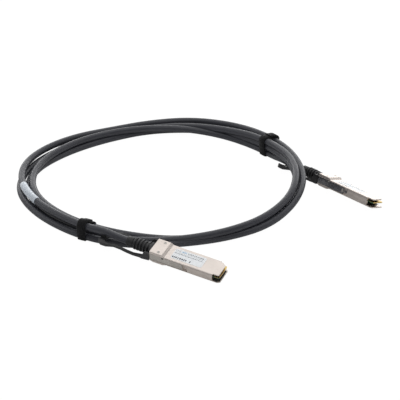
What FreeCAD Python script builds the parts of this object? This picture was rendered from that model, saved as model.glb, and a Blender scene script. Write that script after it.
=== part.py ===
import FreeCAD, Part
import math
import os
import Sketcher

V = FreeCAD.Vector
doc = FreeCAD.newDocument("dac_cable")

# ---------------------------------------------------------------- sizes (mm)
SIZES = [
    ("plugwidth", 18.35), ("nosehalf", 4.25), ("rearlen", 12.0), ("slopeend", 14.5),
    ("walllen", 61.2), ("liplen", 67.2), ("reartop", 6.0), ("bulge", 5.5),
    ("bulgestart", 3.0), ("bulgeend", 12.5), ("bulgerun", 16.0), ("splitz", 0.6),
    ("lipthick", 1.05), ("sidewall", 1.95), ("lipchamfer", 2.3), ("recessdepth", 0.75),
    ("recessend", 37.0), ("recesstop", 3.25), ("recessbot", 3.45),
    ("armthick", 0.5), ("armend", 32.5), ("armtop", 2.95), ("armbot", 3.15),
    ("cardwidth", 14.2), ("cardbot", 0.25), ("cardthick", 1.0), ("cardstart", 22.0), ("cardend", 67.6), ("cardnose", 16.0),
    ("padlen", 5.2), ("padwide", 0.5), ("padthick", 0.05), ("padpitch", 0.8),
    ("labellen", 30.2), ("labelwide", 12.6), ("labelthick", 0.12), ("labelstart", 19.0),
    ("cabledia", 6.7), ("coredia", 5.5), ("bootlen", 27.0), ("bootend", 9.2), ("bootwide", 12.4), ("boothigh", 8.6),
    ("neckwide", 11.0), ("neckhigh", 7.0), ("screwdia", 2.6), ("screwhead", 0.9),
    ("tabwide", 18.2), ("tabarm", 2.0), ("tabend", 54.5), ("tabhigh", 3.0), ("tabbar", 6.5),
    ("ferrulelen", 3.0),
    ("coilwide", 14.5), ("coilhigh", 14.0), ("coilround", 4.8),
    ("tiewide", 8.0), ("tiethick", 1.5), ("sleevedia", 7.4), ("sleevelen", 20.5),
]
sheet = doc.addObject("Spreadsheet::Sheet", "dims")
D = {}
for row, (name, value) in enumerate(SIZES, start=1):
    sheet.set("A%d" % row, name)
    sheet.set("B%d" % row, repr(value))
    sheet.setAlias("B%d" % row, name)
    D[name] = value
doc.recompute()


class E:
    """A length that is a sheet value times a factor plus an offset."""

    def __init__(self, name, factor=1.0, offset=0.0):
        self.name, self.factor, self.offset = name, factor, offset
        self.value = D[name] * factor + offset

    def text(self):
        return "dims.%s * %.6f + %.6f" % (self.name, self.factor, self.offset)


def num(a):
    return a.value if isinstance(a, E) else float(a)


def bind(obj, prop, a):
    if isinstance(a, E):
        obj.setExpression(prop, a.text())
    return num(a)


def origin_plane(body, role):
    for f in body.Origin.OriginFeatures:
        if f.Role == role:
            return f
    raise RuntimeError("no plane " + role)


NORMAL = {"XY_Plane": "z", "XZ_Plane": "y", "YZ_Plane": "x"}


def new_sketch(body, role, name, offset=0.0):
    s = body.newObject("Sketcher::SketchObject", name)
    s.AttachmentSupport = [(origin_plane(body, role), "")]
    s.MapMode = "FlatFace"
    s.AttachmentOffset = FreeCAD.Placement(V(0, 0, num(offset)), FreeCAD.Rotation())
    if isinstance(offset, E):
        s.setExpression(".AttachmentOffset.Base.z", offset.text())
    return s


def poly(body, role, name, pts, offset=0.0):
    """Closed polygon sketch, every corner dimensioned from the origin."""
    s = new_sketch(body, role, name, offset)
    n = len(pts)
    vals = [(num(a), num(b)) for a, b in pts]
    for i in range(n):
        a, b = vals[i], vals[(i + 1) % n]
        s.addGeometry(Part.LineSegment(V(a[0], a[1], 0), V(b[0], b[1], 0)), False)
    for i in range(n):
        s.addConstraint(Sketcher.Constraint("Coincident", i, 2, (i + 1) % n, 1))
    for i, (a, b) in enumerate(pts):
        for kind, c in (("DistanceX", a), ("DistanceY", b)):
            v = num(c)
            if abs(v) < 1e-9:
                other = "PointOnObject"
                axis = -2 if kind == "DistanceX" else -1
                s.addConstraint(Sketcher.Constraint(other, i, 1, axis))
                continue
            k = s.addConstraint(Sketcher.Constraint(kind, -1, 1, i, 1, v))
            if isinstance(c, E):
                s.setExpression("Constraints[%d]" % k, c.text())
    return s


def rect(body, role, name, a0, a1, b0, b1, offset=0.0):
    return poly(body, role, name, [(a0, b0), (a1, b0), (a1, b1), (a0, b1)], offset)


def circle(body, role, name, cx, cy, dia, offset=0.0):
    s = new_sketch(body, role, name, offset)
    s.addGeometry(Part.Circle(V(num(cx), num(cy), 0), V(0, 0, 1), num(dia) / 2), False)
    k = s.addConstraint(Sketcher.Constraint("Diameter", 0, num(dia)))
    if isinstance(dia, E):
        s.setExpression("Constraints[%d]" % k, dia.text())
    for kind, c, axis in (("DistanceX", cx, -2), ("DistanceY", cy, -1)):
        if abs(num(c)) < 1e-9:
            s.addConstraint(Sketcher.Constraint("PointOnObject", 0, 3, axis))
        else:
            k = s.addConstraint(Sketcher.Constraint(kind, -1, 1, 0, 3, num(c)))
            if isinstance(c, E):
                s.setExpression("Constraints[%d]" % k, c.text())
    return s


def pad(body, sk, name, length, mid=False, rev=False):
    p = body.newObject("PartDesign::Pad", name)
    p.Profile = sk
    p.Length = num(length)
    p.Midplane = mid
    p.Reversed = rev
    if isinstance(length, E):
        p.setExpression("Length", length.text())
    doc.recompute()
    return p


def pocket(body, sk, name, length, mid=False, rev=False, through=False):
    before = body.Shape.Volume
    p = body.newObject("PartDesign::Pocket", name)
    p.Profile = sk
    if through:
        p.Type = 1
    else:
        p.Length = num(length)
        if isinstance(length, E):
            p.setExpression("Length", length.text())
    p.Midplane = mid
    p.Reversed = rev
    doc.recompute()
    if body.Shape.Volume >= before - 1e-6:
        raise RuntimeError("pocket %s removed nothing" % name)
    return p


def new_body(name, placement):
    b = doc.addObject("PartDesign::Body", name)
    b.Label = name
    b.Placement = placement
    return b


def dress(body, kind, name, edges, size):
    base = body.Tip
    f = body.newObject("PartDesign::" + kind, name)
    f.Base = (base, edges)
    if kind == "Fillet":
        f.Radius = size
    else:
        f.Size = size
    doc.recompute()
    return f


def find_edges(shape, test):
    out = []
    for i, e in enumerate(shape.Edges, start=1):
        if test(e):
            out.append("Edge%d" % i)
    return out


def along(e, axis, tol=1e-4):
    if len(e.Vertexes) != 2:
        return False
    d = e.Vertexes[1].Point.sub(e.Vertexes[0].Point)
    if d.Length < 1e-9:
        return False
    d.normalize()
    return abs(abs(getattr(d, axis)) - 1) < tol


# ------------------------------------------------------------ where things go
# frame: X to the right, Y away, Z up, floor at Z = 0
ORG = V(77.4215, -75.8615, 0.0)


def plug_placement(yaw, pitch, roll, at):
    rot = FreeCAD.Rotation(V(0, 0, 1), yaw) * FreeCAD.Rotation(V(0, 1, 0), pitch) * FreeCAD.Rotation(V(1, 0, 0), roll)
    return FreeCAD.Placement(at.sub(ORG), rot)


NEAR = plug_placement(-26.9, 5.0, 12.7, V(-3.5, -150.4, 11.8674))
FAR = plug_placement(-46.4, 0.9, -18.2, V(157.35, -6.5, 8.2859))

out = []


def keep(obj, name):
    obj.Label = name
    out.append((name, obj))


half = E("plugwidth", 0.5)
neghalf = E("plugwidth", -0.5)


def build_plug(pre, place, droop):
    # ---- bottom shell: floor, side walls, underside bulge, bottom lip
    b = new_body(pre + "_bottom_shell", place)
    zs = E("splitz")
    s = poly(b, "XZ_Plane", pre + "_bs_profile", [
        (0, zs), (0, E("nosehalf", -1, -0.25)), (E("bulgestart"), E("bulge", -1)),
        (E("bulgeend"), E("bulge", -1)), (E("bulgerun"), E("nosehalf", -1)),
        (E("liplen", 1, 1.0), E("nosehalf", -1)), (E("liplen", 1, 1.0), zs)])
    pad(b, s, pre + "_bs_pad", E("plugwidth"), mid=True)
    zfloor = E("nosehalf", -1, D["lipthick"])
    # inner room between the side walls
    s = rect(b, "XY_Plane", pre + "_bs_room", 2.0, E("walllen"), E("plugwidth", 0.5, -1.95), E("plugwidth", -0.5, 1.95), offset=zs)
    pocket(b, s, pre + "_bs_room_cut", E("nosehalf", 1, D["splitz"] - D["lipthick"]))
    # open nose: the side walls stop, the lip goes on
    s = rect(b, "XY_Plane", pre + "_bs_nose", E("walllen", 1, -0.01), 80.0, -12.0, 12.0, offset=zs)
    pocket(b, s, pre + "_bs_nose_cut", E("nosehalf", 1, D["splitz"] - D["lipthick"]))
    # corners taken off the bottom lip
    for sgn, tag in ((1, "l"), (-1, "r")):
        s = poly(b, "XY_Plane", pre + "_bs_chamf_" + tag, [
            (E("liplen", 1, -1.5), 9.6 * sgn), (E("liplen", 1, -1.5), E("plugwidth", 0.5 * sgn)),
            (E("liplen", 1, 1.0), E("plugwidth", 0.5 * sgn, -1.7 * sgn)),
            (E("liplen", 1, 2.5), E("plugwidth", 0.5 * sgn, -1.7 * sgn)), (E("liplen", 1, 2.5), 9.6 * sgn)], offset=zs)
        pocket(b, s, pre + "_bs_chamf_cut_" + tag, 20.0)
    # rear opening for the boot's neck, lower half
    s = rect(b, "YZ_Plane", pre + "_bs_rear", E("neckwide", -0.5), E("neckwide", 0.5), E("neckhigh", -0.5), 3.0, offset=-1.0)
    pocket(b, s, pre + "_bs_rear_cut", 4.0, rev=True)
    # side recesses for the slider's arms
    for sgn, tag in ((1, "l"), (-1, "r")):
        ya = E("plugwidth", 0.5 * sgn, -D["recessdepth"] * sgn)
        yb = 12.0 * sgn
        s = rect(b, "XY_Plane", pre + "_bs_rec_" + tag, -1.0, E("recessend"), ya, yb, offset=E("splitz", 1, 1.0))
        pocket(b, s, pre + "_bs_rec_cut_" + tag, E("recessbot", 1, D["splitz"] + 1.0))
        # latch window beyond the arm's tip
        s = rect(b, "XY_Plane", pre + "_bs_win_" + tag, E("armend", 1, 0.6), E("recessend", 1, -0.9),
                 E("plugwidth", 0.5 * sgn, -1.35 * sgn), yb, offset=E("splitz", 1, 1.0))
        pocket(b, s, pre + "_bs_win_cut_" + tag, E("recessbot", 1, D["splitz"] + 0.2))
    ed = find_edges(b.Tip.Shape, lambda e: along(e, "x") and e.Length > 20 and abs(abs(e.Vertexes[0].Point.y) - num(half)) < 1e-3
                    and abs(e.Vertexes[0].Point.z + D["nosehalf"]) < 1e-3)
    if ed:
        dress(b, "Fillet", pre + "_bs_fillet", ed, 0.35)
    keep(b, pre + "_bottom_shell")

    # ---- top shell: cover, rear block, slope, top lip
    t = new_body(pre + "_top_shell", place)
    s = poly(t, "XZ_Plane", pre + "_ts_profile", [
        (0, zs), (E("liplen"), zs), (E("liplen"), E("nosehalf")), (E("slopeend"), E("nosehalf")),
        (E("rearlen"), E("reartop")), (0, E("reartop"))])
    pad(t, s, pre + "_ts_pad", E("plugwidth"), mid=True)
    s = rect(t, "XY_Plane", pre + "_ts_room", 2.0, E("walllen"), E("plugwidth", 0.5, -1.95), E("plugwidth", -0.5, 1.95), offset=zs)
    pocket(t, s, pre + "_ts_room_cut", E("nosehalf", 1, -D["lipthick"] - D["splitz"]), rev=True)
    s = rect(t, "XY_Plane", pre + "_ts_nose", E("walllen", 1, -0.01), 80.0, -12.0, 12.0, offset=zs)
    pocket(t, s, pre + "_ts_nose_cut", E("nosehalf", 1, -D["lipthick"] - D["splitz"]), rev=True)
    for sgn, tag in ((1, "l"), (-1, "r")):
        step = E("plugwidth", 0.5 * sgn, -1.25 * sgn)
        if sgn > 0:
            nose = [(E("walllen", 1, 2.6), step), (E("liplen"), E("plugwidth", 0.5, -3.9)), (E("liplen", 1, 1.0), E("plugwidth", 0.5, -3.9))]
        else:
            nose = [(E("liplen", 1, -0.5), step), (E("liplen", 1, 1.0), E("plugwidth", -0.5, 2.75))]
        s = poly(t, "XY_Plane", pre + "_ts_chamf_" + tag, [
            (E("walllen", 1, 0.6), 9.6 * sgn), (E("walllen", 1, 0.6), step)] + nose + [(E("liplen", 1, 1.0), 9.6 * sgn)], offset=6.0)
        pocket(t, s, pre + "_ts_chamf_cut_" + tag, 5.0)
        ya = E("plugwidth", 0.5 * sgn, -D["recessdepth"] * sgn)
        yb = 12.0 * sgn
        s = rect(t, "XY_Plane", pre + "_ts_rec_" + tag, -1.0, E("recessend"), ya, yb, offset=0.0)
        pocket(t, s, pre + "_ts_rec_cut_" + tag, E("recesstop"), rev=True)
        s = rect(t, "XY_Plane", pre + "_ts_win_" + tag, E("armend", 1, 0.6), E("recessend", 1, -0.9),
                 E("plugwidth", 0.5 * sgn, -1.35 * sgn), yb, offset=0.0)
        pocket(t, s, pre + "_ts_win_cut_" + tag, E("recesstop", 1, -0.8), rev=True)
    s = rect(t, "YZ_Plane", pre + "_ts_rear", E("neckwide", -0.5), E("neckwide", 0.5), -3.0, E("neckhigh", 0.5), offset=-1.0)
    pocket(t, s, pre + "_ts_rear_cut", 4.0, rev=True)
    # screw seats in the rear block's top
    for k, (sx, sy) in enumerate(((7.65, 6.35), (7.65, -6.35))):
        s = circle(t, "XY_Plane", pre + "_ts_screw_%d" % k, sx, sy, E("screwdia"), offset=E("reartop"))
        pocket(t, s, pre + "_ts_screw_cut_%d" % k, E("screwhead"))
    ed = find_edges(t.Tip.Shape, lambda e: along(e, "x") and e.Length > 10 and abs(abs(e.Vertexes[0].Point.y) - num(half)) < 1e-3
                    and (abs(e.Vertexes[0].Point.z - D["nosehalf"]) < 1e-3 or abs(e.Vertexes[0].Point.z - D["reartop"]) < 1e-3))
    if ed:
        dress(t, "Fillet", pre + "_ts_fillet", ed, 0.45)
    keep(t, pre + "_top_shell")

    # ---- screws: flush heads with a short shank
    for k, (sx, sy) in enumerate(((7.65, 6.35), (7.65, -6.35))):
        c = new_body("%s_screw_%s" % (pre, "ab"[k]), place)
        s = circle(c, "XY_Plane", "%s_screw_sk_%d" % (pre, k), sx, sy, E("screwdia", 1, -0.02), offset=E("reartop", 1, -D["screwhead"]))
        pad(c, s, "%s_screw_pad_%d" % (pre, k), E("screwhead", 1, 0.12))
        s = rect(c, "XY_Plane", "%s_screw_slot_%d" % (pre, k), sx - 0.2, sx + 0.2, sy - 0.8, sy + 0.8, offset=E("reartop", 1, 0.12))
        pocket(c, s, "%s_screw_slot_cut_%d" % (pre, k), 0.4)
        keep(c, "%s_screw_%s" % (pre, "ab"[k]))

    # ---- paddle card with edge contacts on both faces
    c = new_body(pre + "_paddle_card", place)
    cw = E("cardwidth", 0.5)
    s = poly(c, "XY_Plane", pre + "_card_plan", [
        (E("cardstart"), E("cardwidth", -0.5)), (E("walllen", 1, 0.3), E("cardwidth", -0.5)),
        (E("walllen", 1, 0.3), E("cardnose", -0.5)), (E("cardend", 1, -0.8), E("cardnose", -0.5)),
        (E("cardend"), E("cardnose", -0.5, 0.8)), (E("cardend"), E("cardnose", 0.5, -0.8)),
        (E("cardend", 1, -0.8), E("cardnose", 0.5)), (E("walllen", 1, 0.3), E("cardnose", 0.5)),
        (E("walllen", 1, 0.3), cw), (E("cardstart"), cw)], offset=E("cardbot"))
    pad(c, s, pre + "_card_pad", E("cardthick"))
    for face, z0, rev in (("top", E("cardbot", 1, D["cardthick"]), False), ("bot", E("cardbot"), True)):
        s = rect(c, "XY_Plane", pre + "_contact_" + face, E("cardend", 1, -0.4 - D["padlen"]), E("cardend", 1, -0.4),
                 E("padpitch", -8, -D["padwide"] / 2), E("padpitch", -8, D["padwide"] / 2), offset=z0)
        p = pad(c, s, pre + "_contact_pad_" + face, E("padthick"), rev=rev)
        pat = c.newObject("PartDesign::LinearPattern", pre + "_contact_row_" + face)
        pat.Originals = [p]
        pat.Direction = (origin_axis(c, "Y_Axis"), [""])
        pat.Length = D["padpitch"] * 16
        pat.setExpression("Length", "dims.padpitch * 16")
        pat.Occurrences = 17
        c.Tip = pat
        doc.recompute()
    keep(c, pre + "_paddle_card")

    # ---- potted wire fan-out: from the cable's round end to the card's rear edge
    c = new_body(pre + "_wire_fanout", place)
    s = circle(c, "YZ_Plane", pre + "_fan_core", 0.0, 0.0, E("coredia"), offset=-1.5)
    pad(c, s, pre + "_fan_core_pad", 6.7)
    s1 = rect(c, "YZ_Plane", pre + "_fan_a", -2.8, 2.8, -2.4, 2.6, offset=5.2)
    s2 = rect(c, "YZ_Plane", pre + "_fan_b", -6.4, 6.4, -1.6, 2.6, offset=E("cardstart"))
    l = c.newObject("PartDesign::AdditiveLoft", pre + "_fan_loft")
    l.Profile = s1
    l.Sections = [s2]
    l.Ruled = True
    doc.recompute()
    keep(c, pre + "_wire_fanout")

    # ---- crimp ferrule on the cable's shield
    c = new_body(pre + "_crimp_ferrule", place)
    s = new_sketch(c, "YZ_Plane", pre + "_ferrule_sk", 2.1)
    s.addGeometry(Part.Circle(V(0, 0, 0), V(0, 0, 1), D["neckhigh"] / 2 - 0.35), False)
    s.addGeometry(Part.Circle(V(0, 0, 0), V(0, 0, 1), D["coredia"] / 2), False)
    s.addConstraint(Sketcher.Constraint("Coincident", 0, 3, -1, 1))
    s.addConstraint(Sketcher.Constraint("Coincident", 1, 3, -1, 1))
    k = s.addConstraint(Sketcher.Constraint("Diameter", 0, D["neckhigh"] - 0.7))
    s.setExpression("Constraints[%d]" % k, "dims.neckhigh - 0.7")
    k = s.addConstraint(Sketcher.Constraint("Diameter", 1, D["coredia"]))
    s.setExpression("Constraints[%d]" % k, "dims.coredia")
    pad(c, s, pre + "_ferrule_pad", E("ferrulelen"))
    keep(c, pre + "_crimp_ferrule")

    # ---- ribbed strain relief boot with a bore for the cable
    c = new_body(pre + "_cable_boot", place)
    s1 = slot_sketch(c, pre + "_boot_root", D["bootwide"], D["boothigh"], -0.05)
    s2 = slot_sketch(c, pre + "_boot_mid", 10.8, 10.3, -12.0)
    s3 = slot_sketch(c, pre + "_boot_tip", D["bootend"] + 0.02, D["bootend"], -D["bootlen"])
    l = c.newObject("PartDesign::AdditiveLoft", pre + "_boot_loft")
    l.Profile = s1
    l.Sections = [s2, s3]
    l.Ruled = True
    doc.recompute()
    s = slot_sketch(c, pre + "_boot_neck", D["neckwide"] - 0.2, D["neckhigh"] - 0.2, -0.05)
    pad(c, s, pre + "_boot_neck_pad", 2.0)
    # bore: the jacket's size up to the stripped core, the core's size through the neck
    s = circle(c, "YZ_Plane", pre + "_boot_core", 0.0, 0.0, E("coredia"), offset=0.0)
    pocket(c, s, pre + "_boot_core_cut", 60.0, mid=True)
    s = circle(c, "YZ_Plane", pre + "_boot_bore", 0.0, 0.0, E("cabledia"), offset=-1.5)
    pocket(c, s, pre + "_boot_bore_cut", 40.0)
    # rib gaps: thin slots cut in from above and below
    for k in range(6):
        x0 = -4.3 - 3.1 * k
        s = rect(c, "XZ_Plane", pre + "_rib_%d" % k, x0 - 1.1, x0, 3.9, 8.0)
        pocket(c, s, pre + "_rib_cut_%d" % k, 30.0, mid=True)
        s = rect(c, "XZ_Plane", pre + "_ribb_%d" % k, x0 - 1.1, x0, -8.0, -3.9)
        pocket(c, s, pre + "_ribb_cut_%d" % k, 30.0, mid=True)
    keep(c, pre + "_cable_boot")

    # ---- latch slider: two side arms joined by a strap under the boot
    c = new_body(pre + "_latch_slider", place)
    for sgn, tag in ((1, "l"), (-1, "r")):
        s = poly(c, "XZ_Plane", pre + "_arm_" + tag, [
            (-5.0, E("armbot", -1)), (E("armend", 1, -0.8), E("armbot", -1)), (E("armend"), E("armbot", -1, 0.8)),
            (E("armend"), E("armtop", 1, -0.8)), (E("armend", 1, -0.8), E("armtop")), (-5.0, E("armtop"))],
            offset=E("plugwidth", -0.5 * sgn, 0.1 * sgn))
        pad(c, s, pre + "_arm_pad_" + tag, E("armthick"), rev=(sgn < 0))
    s = rect(c, "YZ_Plane", pre + "_strap", E("plugwidth", -0.5, 0.1), E("plugwidth", 0.5, -0.1), -5.55, -4.95, offset=-5.0)
    pad(c, s, pre + "_strap_pad", 3.6)
    for sgn, tag in ((1, "l"), (-1, "r")):
        s = rect(c, "YZ_Plane", pre + "_strap_leg_" + tag, E("plugwidth", 0.5 * sgn, -0.1 * sgn),
                 E("plugwidth", 0.5 * sgn, (-0.1 - D["armthick"]) * sgn), -5.55, 0.0, offset=-5.0)
        pad(c, s, pre + "_strap_leg_pad_" + tag, 3.6)
    keep(c, pre + "_latch_slider")

    # ---- pull tab: side cheeks over the arms' rear ends, two arms and a tail bar
    c = new_body(pre + "_pull_tab", place)
    build_tab(c, pre, droop)
    keep(c, pre + "_pull_tab")

    # ---- plug label on the top shell
    c = new_body(pre + "_plug_label", place)
    s = new_sketch(c, "XY_Plane", pre + "_label_sk", E("nosehalf"))
    rounded_rect(s, D["labelstart"], D["labelstart"] + D["labellen"], -D["labelwide"] / 2, D["labelwide"] / 2, 1.5)
    pad(c, s, pre + "_label_pad", E("labelthick"))
    keep(c, pre + "_plug_label")


def origin_axis(body, role):
    for f in body.Origin.OriginFeatures:
        if f.Role == role:
            return f
    raise RuntimeError("no axis " + role)


def rounded_rect(s, x0, x1, y0, y1, r):
    g = []
    g.append(s.addGeometry(Part.LineSegment(V(x0 + r, y0, 0), V(x1 - r, y0, 0)), False))
    g.append(s.addGeometry(Part.ArcOfCircle(Part.Circle(V(x1 - r, y0 + r, 0), V(0, 0, 1), r), -math.pi / 2, 0), False))
    g.append(s.addGeometry(Part.LineSegment(V(x1, y0 + r, 0), V(x1, y1 - r, 0)), False))
    g.append(s.addGeometry(Part.ArcOfCircle(Part.Circle(V(x1 - r, y1 - r, 0), V(0, 0, 1), r), 0, math.pi / 2), False))
    g.append(s.addGeometry(Part.LineSegment(V(x1 - r, y1, 0), V(x0 + r, y1, 0)), False))
    g.append(s.addGeometry(Part.ArcOfCircle(Part.Circle(V(x0 + r, y1 - r, 0), V(0, 0, 1), r), math.pi / 2, math.pi), False))
    g.append(s.addGeometry(Part.LineSegment(V(x0, y1 - r, 0), V(x0, y0 + r, 0)), False))
    g.append(s.addGeometry(Part.ArcOfCircle(Part.Circle(V(x0 + r, y0 + r, 0), V(0, 0, 1), r), math.pi, 1.5 * math.pi), False))
    for i in range(8):
        s.addConstraint(Sketcher.Constraint("Tangent", g[i], 2, g[(i + 1) % 8], 1))
    k = s.addConstraint(Sketcher.Constraint("Radius", g[1], r))
    for i in (3, 5, 7):
        s.addConstraint(Sketcher.Constraint("Equal", g[1], g[i]))
    s.addConstraint(Sketcher.Constraint("Horizontal", g[0]))
    s.addConstraint(Sketcher.Constraint("Vertical", g[2]))
    s.addConstraint(Sketcher.Constraint("DistanceX", -1, 1, g[6], 1, x0))
    s.addConstraint(Sketcher.Constraint("DistanceX", -1, 1, g[2], 1, x1))
    s.addConstraint(Sketcher.Constraint("DistanceY", -1, 1, g[0], 1, y0))
    s.addConstraint(Sketcher.Constraint("DistanceY", -1, 1, g[4], 1, y1))
    return s


def slot_sketch(body, name, wide, high, x):
    """Rounded section across the plug, wide along Y and high along Z."""
    s = new_sketch(body, "YZ_Plane", name, x)
    r = high / 2 - 0.005
    rounded_rect(s, -wide / 2, wide / 2, -high / 2, high / 2, min(r, wide / 2 - 0.005) - 0.6)
    return s


def build_tab(c, pre, tail):
    """Side profile padded across, the middle then cut away. tail = height of the tail's underside."""
    te = E("tabend", -1)
    s = poly(c, "XZ_Plane", pre + "_tab_profile", [
        (-0.6, -4.7), (-0.6, 3.7), (-5.0, 3.7), (-8.6, -2.4), (-17.3, -4.1), (-23.8, -3.5), (-30.2, -2.4), (-36.9, -2.1),
        (-43.0, tail + 3.4), (te, tail + 3.4), (te, tail), (-45.4, tail), (-36.9, -4.1), (-30.2, -4.4),
        (-23.8, -5.6), (-17.3, 0.4 * tail - 3.44), (-8.6, -5.6)])
    pad(c, s, pre + "_tab_pad", E("tabwide", 1, 1.5), mid=True)
    # finger opening between the two arms and in front of the tail bar
    s = new_sketch(c, "XY_Plane", pre + "_tab_open", 12.0)
    rounded_rect(s, -D["tabend"] + D["tabbar"], 14.0, -D["tabwide"] / 2 + D["tabarm"], D["tabwide"] / 2 - D["tabarm"], 3.2)
    pocket(c, s, pre + "_tab_open_cut", 40.0)
    s = rect(c, "XY_Plane", pre + "_tab_front", -7.4, 6.0, E("tabwide", -0.5, 0.75), E("tabwide", 0.5, -0.75), offset=12.0)
    pocket(c, s, pre + "_tab_front_cut", 40.0)
    # outer sides drawn in behind the cheeks, tail corners rounded
    for sgn, tag in ((1, "l"), (-1, "r")):
        s = poly(c, "XY_Plane", pre + "_tab_side_" + tag, [
            (-8.0, 14.0 * sgn), (-8.0, E("tabwide", 0.5 * sgn, 0.75 * sgn)), (-11.0, E("tabwide", 0.5 * sgn, 0.1 * sgn)),
            (-50.6, E("tabwide", 0.5 * sgn, 0.1 * sgn)), (-53.3, E("tabwide", 0.5 * sgn, -1.4 * sgn)),
            (-54.7, E("tabwide", 0.5 * sgn, -4.0 * sgn)), (-60.0, E("tabwide", 0.5 * sgn, -4.0 * sgn)), (-60.0, 14.0 * sgn)], offset=12.0)
        pocket(c, s, pre + "_tab_side_cut_" + tag, 40.0)
        # seats for the slider's arm ends and strap legs
        s = rect(c, "XY_Plane", pre + "_tab_seat_" + tag, -5.0, 2.0, E("plugwidth", 0.5 * sgn, -0.1 * sgn),
                 E("plugwidth", 0.5 * sgn, (-0.1 - D["armthick"]) * sgn), offset=E("armtop"))
        pocket(c, s, pre + "_tab_seat_cut_" + tag, 20.0)
    # saddle for the cable across the tail bar, between its raised ends
    s = rect(c, "XY_Plane", pre + "_tab_grip", -60.0, -40.0, -5.2, 7.3 if pre == "near" else 5.2, offset=12.0)
    pocket(c, s, pre + "_tab_grip_cut", 12.0 - (tail + 1.5))


build_plug("near", NEAR, -6.9)
build_plug("far", FAR, -6.35)

# ------------------------------------------------------------------ the coil
COIL_A, COIL_B = 133.5, 120.0


def bump(angle, centre, reach, height):
    d = abs((angle - centre + 180.0) % 360.0 - 180.0)
    if d >= reach:
        return 0.0
    return height * (0.5 + 0.5 * math.cos(math.pi * d / reach))


def coil_low(angle):
    return 0.35 + bump(angle, 5.0, 38.0, 12.6) + bump(angle, 240.6, 30.0, 1.9) + bump(angle, 38.0, 22.0, 2.4)


def coil_point(angle):
    t = math.radians(angle)
    return V(COIL_A * math.cos(t), COIL_B * math.sin(t), coil_low(angle) + D["coilhigh"] / 2).sub(ORG)


def coil_frame(angle):
    """Placement with local X along the ring, local Z up."""
    p = coil_point(angle)
    d = coil_point(angle + 1.0).sub(coil_point(angle - 1.0))
    flat = math.degrees(math.atan2(d.y, d.x))
    climb = math.degrees(math.atan2(d.z, math.hypot(d.x, d.y)))
    rot = FreeCAD.Rotation(V(0, 0, 1), flat) * FreeCAD.Rotation(V(0, 1, 0), -climb)
    return FreeCAD.Placement(p, rot)


spine = Part.BSplineCurve()
spine.interpolate([coil_point(a) for a in range(0, 360, 15)], PeriodicFlag=True)
spine_wire = Part.Wire([spine.toShape()])


def round_section(wide, high, r):
    """Closed rounded rectangle in the local YZ plane."""
    y, z = wide / 2, high / 2
    k = r * (1 - math.sqrt(0.5))
    pts = [(-y + r, -z), (y - r, -z), (y, -z + r), (y, z - r), (y - r, z), (-y + r, z), (-y, z - r), (-y, -z + r)]
    mids = {1: (y - k, -z + k), 3: (y - k, z - k), 5: (-y + k, z - k), 7: (-y + k, -z + k)}
    ed = []
    for i in range(8):
        a, b = pts[i], pts[(i + 1) % 8]
        if i in mids:
            ed.append(Part.Arc(V(0, a[0], a[1]), V(0, mids[i][0], mids[i][1]), V(0, b[0], b[1])).toShape())
        else:
            ed.append(Part.LineSegment(V(0, a[0], a[1]), V(0, b[0], b[1])).toShape())
    return Part.Wire(ed)


start = spine.value(spine.FirstParameter)
tang = spine.tangent(spine.FirstParameter)[0]
flat = math.degrees(math.atan2(tang.y, tang.x))
climb = math.degrees(math.atan2(tang.z, math.hypot(tang.x, tang.y)))
sec = round_section(D["coilwide"], D["coilhigh"], D["coilround"])
sec.Placement = FreeCAD.Placement(start, FreeCAD.Rotation(V(0, 0, 1), flat) * FreeCAD.Rotation(V(0, 1, 0), -climb))
sweep = Part.BRepOffsetAPI.MakePipeShell(spine_wire)
sweep.setBiNormalMode(V(0, 0, 1))
sweep.add(sec)
sweep.build()
sweep.makeSolid()
coil = sweep.shape()
print("coil", coil.isValid(), coil.Volume, spine_wire.Length, "section*length", coil.Volume / spine_wire.Length)

# ---- label sleeve round the top strand at the left, and its seat in the coil
SL_C = V(-12.4, 19.2, 0).sub(ORG)
SL_R, SL_A0, SL_A1, SL_Z = 128.0, 196.4, 214.3, 11.3
sleeve = new_body("cable_label", FreeCAD.Placement(V(SL_C.x, SL_C.y, SL_Z), FreeCAD.Rotation(V(0, 0, 1), SL_A0)))
s = new_sketch(sleeve, "XZ_Plane", "sleeve_sk")
s.addGeometry(Part.Circle(V(SL_R, 0, 0), V(0, 0, 1), D["sleevedia"] / 2), False)
s.addGeometry(Part.Circle(V(SL_R, 0, 0), V(0, 0, 1), D["cabledia"] / 2), False)
for g in (0, 1):
    s.addConstraint(Sketcher.Constraint("PointOnObject", g, 3, -1))
    s.addConstraint(Sketcher.Constraint("DistanceX", -1, 1, g, 3, SL_R))
k = s.addConstraint(Sketcher.Constraint("Diameter", 0, D["sleevedia"]))
s.setExpression("Constraints[%d]" % k, "dims.sleevedia")
k = s.addConstraint(Sketcher.Constraint("Diameter", 1, D["cabledia"]))
s.setExpression("Constraints[%d]" % k, "dims.cabledia")
rev = sleeve.newObject("PartDesign::Revolution", "sleeve_turn")
rev.Profile = s
rev.ReferenceAxis = (s, ["V_Axis"])
rev.Angle = SL_A1 - SL_A0
doc.recompute()
mid = sleeve.Shape.CenterOfMass
want = V(SL_C.x + SL_R * math.cos(math.radians((SL_A0 + SL_A1) / 2)), SL_C.y + SL_R * math.sin(math.radians((SL_A0 + SL_A1) / 2)), SL_Z)
if mid.sub(want).Length > 2.0:
    rev.Reversed = True
    doc.recompute()
keep(sleeve, "cable_label")


def turned_face(face):
    face.rotate(V(0, 0, 0), V(0, 0, 1), SL_A0 - 0.05)
    face.translate(V(SL_C.x, SL_C.y, 0))
    return face.revolve(V(SL_C.x, SL_C.y, 0), V(0, 0, 1), SL_A1 - SL_A0 + 0.1)


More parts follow.
